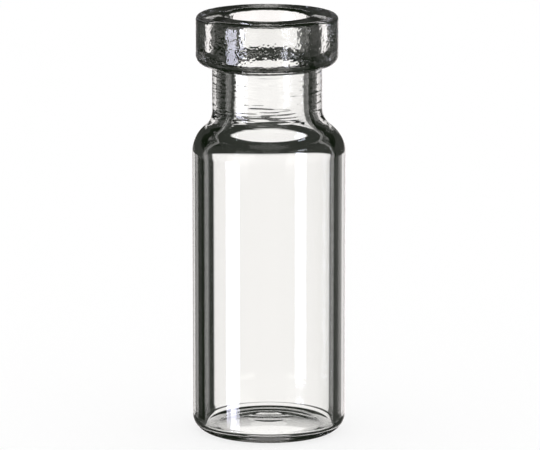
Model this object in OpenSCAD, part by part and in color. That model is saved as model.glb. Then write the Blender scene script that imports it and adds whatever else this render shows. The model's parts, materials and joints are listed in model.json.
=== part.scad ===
// Crimp-neck glass sample vial: one piece of clear tubing glass, open at the mouth.
// The vial stands on its base ring at z = 0, with its axis on Z. Millimetres.

/* [Body] */
// Height from the standing plane to the top of the lip
height = 32; // [22:0.5:60]
// Outside diameter of the body
body_d = 11.6; // [9.4:0.1:25]
// Thickness of the body's wall
wall = 0.87; // [0.5:0.01:1.3]
// Slope of the shoulder above the horizontal, in degrees
shoulder_slope = 40; // [20:1:55]
// Rounding where the body turns in to the shoulder
shoulder_round = 2.3; // [1.4:0.1:4]
// Rounding of the same turn on the inside
inner_round = 1.5; // [0.6:0.1:3]
// Thickness of the shoulder, square to its slope
shoulder_t = 1; // [0.7:0.05:1.5]

/* [Neck] */
// Outside diameter of the neck
neck_d = 8.3; // [6.9:0.05:10]
// Bore of the neck and mouth
bore_d = 6.3; // [3:0.1:7.5]
// Height of the neck, from the shoulder's slope to the lip
neck_h = 4.2; // [2:0.1:10]
// Rounding where the shoulder sweeps up into the neck
neck_round = 1.8; // [0.5:0.1:4]
// Rounding where the bore opens out into the body
bore_round = 2.4; // [0.5:0.1:4]

/* [Lip] */
// Outside diameter of the lip that a crimp cap closes over
lip_d = 10.75; // [8.95:0.05:12.9]
// Height of the lip
lip_h = 3.8; // [2:0.1:6]
// Rounding between the neck and the lip's underside
collar_round = 0.25; // [0.1:0.05:0.6]
// Rounding of the lip's lower edge
lip_under_round = 0.75; // [0.2:0.05:1.4]
// Rounding of the lip's upper outer edge
lip_top_round = 0.4; // [0.1:0.05:0.8]
// Rounding of the mouth's edge
mouth_round = 0.4; // [0.1:0.05:1]

/* [Base] */
// Height of the inside floor above the standing plane, at its edge
floor_t = 0.7; // [0.5:0.05:2]
// Rounding of the base's outer edge
base_round = 1.25; // [0.3:0.05:1.5]
// Rounding of the inside floor's corner
floor_round = 0.25; // [0.15:0.05:1.5]
// Diameter of the hollow under the base, inside the standing ring
punt_d = 8.2; // [3:0.1:9]
// Depth of the hollow under the base
punt_h = 0.33; // [0.1:0.01:0.35]
// Rise of the inside floor from its edge to its middle
floor_rise = 0.31; // [0.1:0.01:0.4]
// Diameter of the dimple that the closing of the tube leaves in the floor
dimple_d = 3.7; // [1:0.1:4.5]
// Depth of that dimple
dimple_h = 0.14; // [0.05:0.01:0.2]

/* [Hidden] */

$fn = 96;
// Width of the standing ring at the least, and of the flat edge round the inside floor
least_ring = 0.25;
floor_edge = 0.4;
// A corner's rounding takes at most this much of its side, with the rounding at the side's other end
most_of_side = 0.97;
// A rounding's circle is a hair over size, so that its edges cross the sides and never just touch
hair = 0.0002;

body_r = body_d / 2;
inner_r = body_r - wall;
neck_r = neck_d / 2;
bore_r = bore_d / 2;
lip_r = lip_d / 2;

lip_z = height - lip_h;
neck_z = lip_z - neck_h;
shoulder_z = neck_z - (body_r - neck_r) * tan(shoulder_slope);

// The inside of the shoulder is the outside slope, moved down by its thickness.
slope_drop = shoulder_t / cos(shoulder_slope);
bore_z = shoulder_z + (body_r - bore_r) * tan(shoulder_slope) - slope_drop;
inner_shoulder_z = shoulder_z + wall * tan(shoulder_slope) - slope_drop;

inner_floor_r = inner_r - floor_round - floor_edge;
punt_r = min(punt_d / 2, body_r - base_round - least_ring);

// Half of the wall's section, outside first: [radius, height, rounding of that corner]
WALL = [
    [0, 0, 0],
    [body_r, 0, base_round],
    [body_r, shoulder_z, shoulder_round],
    [neck_r, neck_z, neck_round],
    [neck_r, lip_z, collar_round],
    [lip_r, lip_z, lip_under_round],
    [lip_r, height, lip_top_round],
    [bore_r, height, mouth_round],
    [bore_r, bore_z, bore_round],
    [inner_r, inner_shoulder_z, inner_round],
    [inner_r, floor_t, floor_round],
    [0, floor_t, 0],
];

function unit(v) = v / norm(v);
function turn(a, b) = a[0] * b[1] - a[1] * b[0];

// A corner's own place in a closed outline, and half of the angle between its two sides
function at(outline, i) = let (p = outline[(i + len(outline)) % len(outline)]) [p[0], p[1]];
function to_before(outline, i) = unit(at(outline, i - 1) - at(outline, i));
function to_after(outline, i) = unit(at(outline, i + 1) - at(outline, i));
function half_angle(outline, i) = acos(to_before(outline, i) * to_after(outline, i)) / 2;

// How far along its sides a corner's rounding reaches, and the share of it that a side has room for
function reach(outline, i) =
    outline[(i + len(outline)) % len(outline)][2] / tan(half_angle(outline, i));
function share(outline, i) =
    let (both = reach(outline, i) + reach(outline, i + 1))
    both == 0 ? 1 : min(1, most_of_side * norm(at(outline, i + 1) - at(outline, i)) / both);
function fitted(outline, i) = outline[i][2] * min(share(outline, i), share(outline, i - 1));

// A closed outline whose corners are true arcs: a hollow corner is first bevelled, then every
// corner is cut back to its arc
module rounded_outline(outline) {
    corners = [0:len(outline) - 1];
    hollow = [for (i = corners) turn(to_before(outline, i), to_after(outline, i)) > 0];
    arcs = [for (i = corners)
        let (
            here = at(outline, i),
            round = fitted(outline, i),
            a = to_before(outline, i),
            b = to_after(outline, i),
            half = half_angle(outline, i)
        )
        round > 0 ? [
            here + unit(a + b) * round / sin(half),
            here + a * round / tan(half),
            here + b * round / tan(half),
            round + hair,
        ] : []];
    difference() {
        polygon([for (i = corners) each
            hollow[i] && len(arcs[i]) > 0 ? [arcs[i][1], arcs[i][2]] : [at(outline, i)]]);
        for (i = corners)
            if (len(arcs[i]) > 0) {
                centre = arcs[i][0];
                if (hollow[i]) translate(centre) circle(r = arcs[i][3]);
                else difference() {
                    polygon([centre, for (p = [arcs[i][1], at(outline, i), arcs[i][2]])
                        centre + (p - centre) * 1.05]);
                    translate(centre) circle(r = arcs[i][3]);
                }
            }
    }
}

// A disc whose edge crosses the axis at height top and is down by drop at radius r
module dome(r, top, drop) {
    sphere_r = (r * r + drop * drop) / (2 * drop);
    translate([0, top - sphere_r]) circle(r = sphere_r, $fn = 256);
}

module floor_dome() {
    intersection() {
        dome(inner_floor_r, floor_t + floor_rise, floor_rise);
        translate([-inner_floor_r, floor_t / 2]) square([2 * inner_floor_r, floor_t]);
    }
}

module dimple() {
    bottom = floor_t + floor_rise - dimple_h;
    intersection() {
        translate([0, 2 * bottom]) mirror([0, 1]) dome(dimple_d / 2, bottom, dimple_h);
        translate([-dimple_d / 2, floor_t / 2]) square([dimple_d, floor_t]);
    }
}

module vial_section() {
    intersection() {
        square([max(body_r, lip_r), height]);
        difference() {
            union() {
                rounded_outline(WALL);
                floor_dome();
            }
            dome(punt_r, punt_h, punt_h);
            dimple();
        }
    }
}

module vial() {
    color("aliceblue", 0.35) rotate_extrude() vial_section();
}

vial();
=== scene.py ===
# %% [markdown]
# # A glass sample vial
# A small laboratory vial is one piece of clear glass tube: a flat base, a straight body, a shoulder,
# a neck and a thick lip that a crimp cap grips. Nothing is fitted to it, so this lesson is about two
# things: turning one exact wall with real thickness, and building a studio that makes clear glass
# readable. Glass has no colour of its own to show. All that is seen is what it bends towards the eye.

# %% Load the fixed frame
import bpy
import json
import math
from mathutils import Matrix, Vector, noise


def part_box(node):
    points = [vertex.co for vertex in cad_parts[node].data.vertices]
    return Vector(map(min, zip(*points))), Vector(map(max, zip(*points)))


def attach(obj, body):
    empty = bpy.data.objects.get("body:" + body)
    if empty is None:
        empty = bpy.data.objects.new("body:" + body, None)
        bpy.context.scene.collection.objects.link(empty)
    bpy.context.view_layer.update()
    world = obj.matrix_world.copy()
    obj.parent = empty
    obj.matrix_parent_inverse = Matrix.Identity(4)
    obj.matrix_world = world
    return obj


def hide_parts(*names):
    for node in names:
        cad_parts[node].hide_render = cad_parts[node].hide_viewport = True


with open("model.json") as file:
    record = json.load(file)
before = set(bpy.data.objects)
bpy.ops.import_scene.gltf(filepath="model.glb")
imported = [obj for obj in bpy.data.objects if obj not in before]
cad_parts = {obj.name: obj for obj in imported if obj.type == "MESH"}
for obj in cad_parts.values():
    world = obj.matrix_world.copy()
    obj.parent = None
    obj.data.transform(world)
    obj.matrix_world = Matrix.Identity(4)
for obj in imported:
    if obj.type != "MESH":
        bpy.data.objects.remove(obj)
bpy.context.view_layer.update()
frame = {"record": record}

# %% [markdown]
# Lengths are in metres. The sizes that other things must fit, which are the body, the lip and the bore,
# are read from the record, so the glass follows them. The others belong to the glass alone, and each
# one is named once here.

# %% Sizes of the glass
mm = 0.001
mounts = {mount["name"]: mount["dims"] for mount in frame["record"]["mounts"]}
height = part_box("vial")[1].z
body_r = mounts["body_barrel"]["r_mm"] * mm
lip_r = mounts["crimp_lip"]["r_mm"] * mm
bore_r = mounts["mouth"]["r_mm"] * mm
neck_r = 4.15 * mm
wall = 0.87 * mm
inner_r = body_r - wall
lip_z = height - 3.8 * mm
neck_z = lip_z - 4.2 * mm
print("height", round(height / mm, 2), "body", body_r / mm, "lip", lip_r / mm, "bore", bore_r / mm)

# %% [markdown]
# The shoulder is a cone between the body and the neck. Its inside is the same cone moved down by the
# thickness of the glass, so the two inside corners can be worked out from the outside ones.

# %% Sizes of the shoulder
slope = math.radians(40)
shoulder_t = 1.0 * mm
shoulder_z = neck_z - (body_r - neck_r) * math.tan(slope)
slope_drop = shoulder_t / math.cos(slope)
bore_z = shoulder_z + (body_r - bore_r) * math.tan(slope) - slope_drop
inner_shoulder_z = shoulder_z + wall * math.tan(slope) - slope_drop
print("shoulder from", round(shoulder_z / mm, 2), "to", round(neck_z / mm, 2))

# %% [markdown]
# The base is pressed flat while it is soft. It stands on a ring, with a shallow hollow inside the ring,
# and the floor inside rises a little to a dimple where the tube was closed. These heights are tenths
# of a millimetre, but light crosses the floor almost flat, so each one shows as a dark or bright arc.

# %% Sizes of the base
floor_t = 0.7 * mm
floor_corner = 0.25 * mm
floor_edge = 0.4 * mm
floor_r = inner_r - floor_corner - floor_edge
floor_rise = 0.31 * mm
crest = floor_t + floor_rise
dimple_r, dimple_h = 1.85 * mm, 0.14 * mm
punt_r, punt_h = 4.1 * mm, 0.33 * mm


def dome(r, edge, top, rise):
    """Height at radius r of a shallow cap that is top high on the axis and rise lower at edge."""
    ball = (edge * edge + rise * rise) / (2 * rise)
    return top - ball + math.sqrt(max(ball * ball - r * r, 0))


def floor_at(r):
    """Height of the inside floor: a low dome with a dimple pressed in its middle."""
    swell = dome(r, floor_r, crest, floor_rise)
    bottom = crest - dimple_h
    return min(swell, 2 * bottom - dome(r, dimple_r, bottom, dimple_h)) if r < 1.4 * dimple_r else swell


print("floor", round(floor_at(floor_r) / mm, 2), "to", round(floor_at(2 * mm) / mm, 2), "mm high")

# %% [markdown]
# A turned shape is a profile spun about an axis. A bevel modifier could round its corners after the
# spin, but here every corner has a radius of its own, and glass shows each one. So the profile is a
# list of corners, each with its radius, and a function replaces each corner with a true arc.

# %% The profile: corners first, then arcs
CORNERS = [
    (body_r, 0, 1.25 * mm),  # the base's outer edge
    (body_r, shoulder_z, 2.3 * mm),  # body to shoulder
    (neck_r, neck_z, 1.8 * mm),  # shoulder to neck
    (neck_r, lip_z, 0.25 * mm),  # neck to the underside of the lip
    (lip_r, lip_z, 0.75 * mm),  # the lip's lower edge
    (lip_r, height, 0.4 * mm),  # the lip's upper edge
    (bore_r, height, 0.4 * mm),  # the mouth's edge
    (bore_r, bore_z, 2.4 * mm),  # the bore, where it opens out
    (inner_r, inner_shoulder_z, 1.5 * mm),  # shoulder to body, inside
    (inner_r, floor_t, floor_corner),  # body to floor, inside
]


def rounded(start, corners, end, steps=12):
    """Points of a path from start to end, with each corner an arc that touches both of its sides."""
    path = [Vector(start)]
    stops = [Vector(start)] + [Vector(corner[:2]) for corner in corners] + [Vector(end)]
    for i, (r, z, radius) in enumerate(corners):
        here = stops[i + 1]
        a = (stops[i] - here).normalized()
        b = (stops[i + 2] - here).normalized()
        half = a.angle(b) / 2
        centre = here + (a + b).normalized() * radius / math.sin(half)
        spoke = here + a * radius / math.tan(half) - centre
        sweep = (math.pi - 2 * half) * math.copysign(1, a.cross(b))
        for k in range(steps + 1):
            t = -sweep * k / steps
            path.append(centre + Vector((spoke.x * math.cos(t) - spoke.y * math.sin(t),
                                         spoke.x * math.sin(t) + spoke.y * math.cos(t))))
    return path + [Vector(end)]


punt = [Vector((punt_r * k / 10, dome(punt_r * k / 10, punt_r, punt_h, punt_h))) for k in range(10)]
floor = [Vector((floor_r * k / 30, floor_at(floor_r * k / 30))) for k in range(30, -1, -1)]
profile = punt + rounded((punt_r, 0), CORNERS, floor[0]) + floor[1:]
print(len(profile), "points from the middle of the hollow, up the outside and down to the floor")

# %% [markdown]
# A flame and a roller shaped the neck and the lip, and left waves in them: rings round the neck, and a
# finer hammered skin on the lip. A bump map could fake them, but waves this size also move the edges
# of everything seen through them, so they are real here. Long straight runs are cut into short
# steps wherever the waves have to bend them. The plain body needs no steps.

# %% Even steps where the glass was worked hot
WORKED_Z = 23.4 * mm
WORKED_STEP, PLAIN_STEP = 0.12 * mm, 4 * mm


def stepped(path):
    """The same path with extra points: close together in the worked glass, far apart below it."""
    out = [path[0]]
    for point in path[1:]:
        start = out[-1]
        gap = (point - start).length
        if gap < 1e-8:
            continue
        worked = max(point.y, start.y) > WORKED_Z
        pieces = max(1, math.ceil(gap / (WORKED_STEP if worked else PLAIN_STEP)))
        out += [start.lerp(point, k / pieces) for k in range(1, pieces + 1)]
    return out


rings = stepped(profile)
print(len(rings), "rings of glass")

# %% [markdown]
# The waves are smooth noise, which gives the same value at the same place each time, so the vial comes
# out the same on every run. Rings and swells fade in up the neck, and the hammered skin comes with the
# lip. All sizes here are in millimetres: where a number scales the place, a larger one makes finer
# waves, and where it scales the noise, it is the wave's height.

# %% The waves that hot working leaves
def fade(start, end, value):
    """0 before start, 1 after end, and a smooth step between them."""
    t = min(max((value - start) / (end - start), 0), 1)
    return t * t * (3 - 2 * t)


def waves(p, inside):
    """How far the surface at p stands out from the true turned shape, in metres."""
    neck = fade(23.4, 25.2, p.z / mm)
    if neck == 0:
        return 0
    lip = fade(27.8, 28.6, p.z / mm)
    q = p / mm
    rings = noise.noise(Vector((q.x * 0.3, q.y * 0.3, q.z * 4.2))) * 0.008
    swell = noise.noise(Vector((q.x * 1.3, q.y * 1.3, q.z * 1.1 + 7))) * 0.006
    hammer = noise.noise(q * 4 + Vector((0, 0, 19))) * 0.009 + noise.noise(q * 8.5) * 0.005
    rough = rings * (1 - 0.9 * lip) + swell * (0.3 + 0.7 * lip) + hammer * (0.06 + 0.94 * lip)
    return rough * neck * mm * (0.6 if inside else 1)


print("a wave on the lip:", round(waves(Vector((lip_r, 0, 30 * mm)), False) * 1e6, 2), "micrometres")

# %% [markdown]
# Spinning the profile by hand, and not with a Screw modifier, lets each point be moved by its wave and
# lets the neck lean. The neck is a tenth of a millimetre off the body's axis, as on many real vials.
# The lean is sideways to the main camera, so the camera's heading is named here too. The vial is
# round, so that heading is free: it only keeps the main view's backdrop clear of the other views'.

# %% Turn the vial
SEGMENTS = 312
MAIN_AZIMUTH = math.radians(225)
rightward = Vector((math.cos(MAIN_AZIMUTH), math.sin(MAIN_AZIMUTH), 0))
LEAN = -0.14 * mm * rightward
LEAN_FROM, LEAN_TO = 22, 25.5
BORE_SIDE = neck_r - 0.3 * mm


def turned(rings):
    """Vertices and faces of the profile spun about Z, with the waves and the lean in them."""
    verts, rows = [], []
    for i, point in enumerate(rings):
        if point.x < 1e-7:
            rows.append([len(verts)] * SEGMENTS)
            verts.append(Vector((0, 0, point.y)))
            continue
        along = (rings[i + 1] - rings[i - 1]).normalized()
        out_r, out_z = along.y, -along.x
        inside = point.x < BORE_SIDE
        lean = LEAN * fade(LEAN_FROM, LEAN_TO, point.y / mm)
        rows.append(range(len(verts), len(verts) + SEGMENTS))
        for k in range(SEGMENTS):
            turn = 2 * math.pi * k / SEGMENTS
            spoke = Vector((math.cos(turn), math.sin(turn), 0))
            here = spoke * point.x + Vector((0, 0, point.y))
            move = waves(here, inside)
            verts.append(here + lean + spoke * out_r * move + Vector((0, 0, out_z * move)))
    faces = []
    for low, high in zip(rows, rows[1:]):
        for k in range(SEGMENTS):
            n = (k + 1) % SEGMENTS
            faces.append(tuple(dict.fromkeys((low[k], low[n], high[n], high[k]))))
    return verts, faces


verts, faces = turned(rings)
mesh = bpy.data.meshes.new("vial_glass")
mesh.from_pydata(verts, [], faces)
mesh.polygons.foreach_set("use_smooth", [True] * len(faces))
vial = bpy.data.objects.new("vial_glass", mesh)
bpy.context.scene.collection.objects.link(vial)
print(len(verts), "vertices,", sum(len(face) - 2 for face in faces), "triangles")

# %% [markdown]
# Glass bends light the right way only if its skin is closed and faces outward everywhere. The volume
# is the test of both: it is positive when the skin faces outward, and it is printed with the open edges.

# %% Check the skin, and put the vial in the frame
import bmesh

skin = bmesh.new()
skin.from_mesh(mesh)
open_edges = sum(not edge.is_manifold for edge in skin.edges)
print("glass:", round(skin.calc_volume(signed=True) / mm ** 3, 1), "cubic mm,", open_edges, "open edges")
skin.free()
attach(vial, "root")
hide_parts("vial")

# %% [markdown]
# Shader nodes are placed in three spots below, so one small function makes them. A value that is
# another node's socket is linked, and any other value is set.

# %% A helper for nodes
def place(tree, kind, inputs=None, **choices):
    """A new shader node with its own choices, and its inputs by name or number."""
    node = tree.nodes.new("ShaderNode" + kind)
    for name, value in choices.items():
        setattr(node, name, value)
    for name, value in (inputs or {}).items():
        if isinstance(value, bpy.types.NodeSocket):
            tree.links.new(value, node.inputs[name])
        else:
            node.inputs[name].default_value = value
    return node


def maths(tree, operation, a, b=0.0):
    """The result of one arithmetic step between two values."""
    return place(tree, "Math", {0: a, 1: b}, operation=operation).outputs[0]


# %% [markdown]
# The glass is a Principled shader with full transmission, no roughness and the index of laboratory
# glass. Two masks by height say where it was worked hot: the lip, and the neck below it. Each mask is
# a smooth step, so no edge shows in the glass where one kind of skin takes over from another.

# %% The glass and its masks
glass = bpy.data.materials.new("clear_tubing_glass")
glass.use_nodes = True
tree = glass.node_tree
shader = tree.nodes["Principled BSDF"]
shader.inputs["Roughness"].default_value = 0
shader.inputs["IOR"].default_value = 1.49
shader.inputs["Transmission Weight"].default_value = 1
where = place(tree, "TexCoord").outputs["Object"]
level = place(tree, "SeparateXYZ", {"Vector": where}).outputs["Z"]


def above(low, high):
    """A mask that is 0 below low and 1 above high, both in millimetres of height."""
    return place(tree, "MapRange", {"Value": level, "From Min": low * mm, "From Max": high * mm},
                 interpolation_type="SMOOTHSTEP").outputs["Result"]


on_lip = above(27.6, 28.4)
on_neck = maths(tree, "SUBTRACT", above(23.4, 25.2), on_lip)
mesh.materials.append(glass)
print("glass of index", round(shader.inputs["IOR"].default_value, 3))

# %% [markdown]
# The mesh carries the larger waves. The finest ones are a bump: a crackle as fine as a fifth of a
# millimetre on the lip, where the roller pressed it, and fine rings on the neck. The noise for the
# rings is squeezed in height by the Mapping node, and the noise for the crackle is the same all ways.
# Glass drinks a little of the light that goes through it, so the thick lip is a shade deeper. The Mix
# node keeps its two colours in its inputs 6 and 7, and gives their mixture at its output 2.

# %% Fine skin and colour
def ripples(vector, scale, mask, depth):
    """Smooth noise, kept where the mask is."""
    bumps = place(tree, "TexNoise", {"Vector": vector, "Scale": scale, "Detail": 0.0}).outputs["Fac"]
    return maths(tree, "MULTIPLY", maths(tree, "MULTIPLY", bumps, mask), depth)


squeezed = place(tree, "Mapping", {"Vector": where, "Scale": (0.3 / mm, 0.3 / mm, 3.6 / mm)}).outputs[0]
skin_height = maths(tree, "ADD", ripples(where, 5.4 / mm, on_lip, 0.52), ripples(squeezed, 1.6, on_neck, 1.0))
bump = place(tree, "Bump", {"Height": skin_height, "Strength": 1.0, "Distance": 0.02 * mm})
tree.links.new(bump.outputs["Normal"], shader.inputs["Normal"])
wall_colour, lip_colour = (0.975, 0.99, 0.98, 1), (0.945, 0.958, 0.945, 1)
tint = place(tree, "Mix", {0: on_lip, 6: wall_colour, 7: lip_colour}, data_type="RGBA")
tree.links.new(tint.outputs[2], shader.inputs["Base Color"])
print(len(tree.nodes), "nodes in the glass")

# %% [markdown]
# A long lens from a little above the mouth's height shows the lip's top, the mouth's ellipse and the
# ring of the base at once. The camera looks at the middle of the vial and turns with its azimuth.

# %% Camera
camera = bpy.data.objects.new("camera", bpy.data.cameras.new("camera"))
bpy.context.scene.collection.objects.link(camera)
elevation = math.radians(11.45)
distance = 0.3734
target = Vector((0, 0, 15.84 * mm)) + rightward * 0.08 * mm
back = Vector((math.sin(MAIN_AZIMUTH) * math.cos(elevation),
               -math.cos(MAIN_AZIMUTH) * math.cos(elevation), math.sin(elevation)))
camera.location = target + back * distance
camera.rotation_mode = "QUATERNION"
camera.rotation_quaternion = (-back).to_track_quat("-Z", "Y")
frame_width = 40.9 * mm
camera.data.lens = camera.data.sensor_width * distance / frame_width
camera.data.clip_end = 10
bpy.context.scene.camera = camera
print("lens", round(camera.data.lens), "mm, camera", [round(v, 3) for v in camera.location])

# %% [markdown]
# The floor is plain white. Light Path makes it clear to rays that come out of the glass, so that the
# vial shows the studio behind it and not the bench, which is how such ware is usually lit: on a
# sheet of glass or acrylic, with the backdrop showing through from below. Most of the floor's white is
# its own light, and the rest is shaded, so that the vial's shadow stays but is faint.

# %% Floor
floor_mesh = bpy.data.meshes.new("floor")
edge_r, floor_z, own_light = 0.4, -0.02 * mm, 0.7
floor_mesh.from_pydata([(edge_r * math.cos(k * math.pi / 32), edge_r * math.sin(k * math.pi / 32), floor_z)
                        for k in range(64)], [], [range(64)])
ground = bpy.data.objects.new("floor", floor_mesh)
bpy.context.scene.collection.objects.link(ground)
paper = bpy.data.materials.new("white_bench")
paper.use_nodes = True
tree = paper.node_tree
tree.nodes.clear()
path = place(tree, "LightPath").outputs
seen_by_glass = maths(tree, "MAXIMUM", path["Is Transmission Ray"], path["Is Glossy Ray"])
matt = place(tree, "BsdfDiffuse", {"Color": (1, 1, 1, 1)})
plain = place(tree, "Emission", {"Color": (1, 1, 1, 1), "Strength": 1.0})
white = place(tree, "MixShader", {0: own_light, 1: matt.outputs[0], 2: plain.outputs[0]})
clear = place(tree, "BsdfTransparent")
either = place(tree, "MixShader", {0: seen_by_glass, 1: white.outputs[0], 2: clear.outputs[0]})
place(tree, "OutputMaterial", {"Surface": either.outputs[0]})
floor_mesh.materials.append(paper)
print("floor", 2 * edge_r, "m across")

# %% [markdown]
# Clear glass on white is lit by its backdrop: a bright panel behind it gives the clear middle, and
# darkness beside the panel gives the black edges that draw its outline. Grey bands between the two
# become the fine lines beside those edges. The world holds all this as brightness by direction, so
# first come three small tools that turn a direction into an angle, and an angle into a brightness.

# %% Directions in the studio
scene = bpy.context.scene
scene.view_settings.view_transform = "Standard"
scene.cycles.max_bounces = 32
scene.cycles.transmission_bounces = 32
scene.cycles.glossy_bounces = 16
world = bpy.data.worlds.new("studio")
scene.world = world
world.use_nodes = True
studio = world.node_tree
studio.nodes.clear()
direction = place(studio, "TexCoord").outputs["Generated"]
rise = maths(studio, "ARCSINE", place(studio, "SeparateXYZ", {0: direction}).outputs["Z"])
rise = maths(studio, "MULTIPLY", rise, 180 / math.pi)


def turn_from(heading):
    """Degrees from a heading to the direction, positive to the right. Heading 0 looks along +Y."""
    faced = place(studio, "VectorRotate", {"Vector": direction, "Angle": math.radians(heading)},
                  rotation_type="Z_AXIS")
    flat = place(studio, "SeparateXYZ", {0: faced.outputs[0]}).outputs
    return maths(studio, "MULTIPLY", maths(studio, "ARCTAN2", flat["X"], flat["Y"]), 180 / math.pi)


def brightness(angle, marks):
    """Brightness along an angle from -90 to 90 degrees: straight lines between (angle, brightness)."""
    share = place(studio, "MapRange", {"Value": angle, "From Min": -90, "From Max": 90}).outputs[0]
    ramp = place(studio, "ValToRGB", {"Fac": share})
    elements = ramp.color_ramp.elements
    while len(elements) < len(marks):
        elements.new(0.5)
    for element, (at, value) in zip(elements, marks):
        element.position = (at + 90) / 180
        element.color = (value, value, value, 1)
    return ramp.outputs["Color"]


def panel(heading, lowest, highest, across, soft=2.0):
    """Brightness of a panel round a heading, between two heights in degrees, with soft edges."""
    up = brightness(rise, [(lowest - soft, 0), (lowest, 1), (highest, 1), (highest + soft, 0)])
    return maths(studio, "MULTIPLY", brightness(turn_from(heading), across), up)


print("the world is ready for its panels")

# %% [markdown]
# The same backdrop stands across four headings: the main view's, two more at eye height, and one for a
# view from higher up. The dark between them is what draws the black edges, so it can't be filled in,
# and the price is that glass seen along a heading with no backdrop looks dark. Behind the main view a
# second panel hangs higher up. No straight line of sight reaches it, but the vial's floor and the
# curves of its base mirror it, and its light fills the near half of the floor. One more panel lies
# straight below, for whoever looks down into the vial.

# %% Panels
BACKDROP = [(-50, 0.0), (-31, 0.015), (-28, 0.1), (-25, 0.17), (-20, 0.17), (-18, 0.03), (-13.5, 0.03),
            (-12.5, 1.05), (19, 1.05), (20.5, 0.18), (27, 0.15), (31, 0.05), (36, 0.03), (50, 0.03)]
STRAIGHT_BELOW = [(-90, 1.0), (-72, 1.0), (-69, 0.0)]
MAIN = 135
VIEWS = [(MAIN, -23, -5.5, 2), (MAIN, 24, 37, 1), (0, -8, 12, 2), (-90, -8, 12, 2), (-45, -33, -20, 2)]
glow = brightness(rise, STRAIGHT_BELOW)
for heading, lowest, highest, soft in VIEWS:
    glow = maths(studio, "ADD", glow, panel(heading, lowest, highest, BACKDROP, soft))
print(len(VIEWS) + 1, "panels")

# %% [markdown]
# One tall softbox stands behind the vial's left shoulder. The front of the glass mirrors it as the
# long white line down the left side, and the back of the far wall mirrors it again on the right. The
# dark room round the panels is not quite black: its dim green is the tint of the black edges. The
# camera itself sees plain white, and so does the floor, because only rays in the glass see the studio.

# %% Softbox, room and white background
SOFTBOX = [(-9, 0), (-8, 1), (8, 1), (9, 0)]
SOFTBOX_HEADING, SOFTBOX_POWER = MAIN - 121, 13
softbox = maths(studio, "MULTIPLY", panel(SOFTBOX_HEADING, -16, -6.5, SOFTBOX, 1), SOFTBOX_POWER)
warm = place(studio, "Background", {"Color": (1.05, 1.0, 1.0, 1), "Strength": glow})
cool = place(studio, "Background", {"Color": (0.92, 0.92, 1.1, 1), "Strength": softbox})
room = place(studio, "Background", {"Color": (0.8, 1.3, 0.6, 1), "Strength": 0.007})
white = place(studio, "Background", {"Color": (1, 1, 1, 1), "Strength": 1.0})
panels = place(studio, "AddShader", {0: warm.outputs[0], 1: cool.outputs[0]})
lit = place(studio, "AddShader", {0: panels.outputs[0], 1: room.outputs[0]})
path = place(studio, "LightPath").outputs
in_glass = maths(studio, "MAXIMUM", path["Is Transmission Ray"], path["Is Glossy Ray"])
in_glass = maths(studio, "SUBTRACT", in_glass, path["Diffuse Depth"])
seen = place(studio, "MixShader", {0: in_glass, 1: white.outputs[0], 2: lit.outputs[0]})
place(studio, "OutputWorld", {"Surface": seen.outputs[0]})
print("white background, panels seen only by the glass")
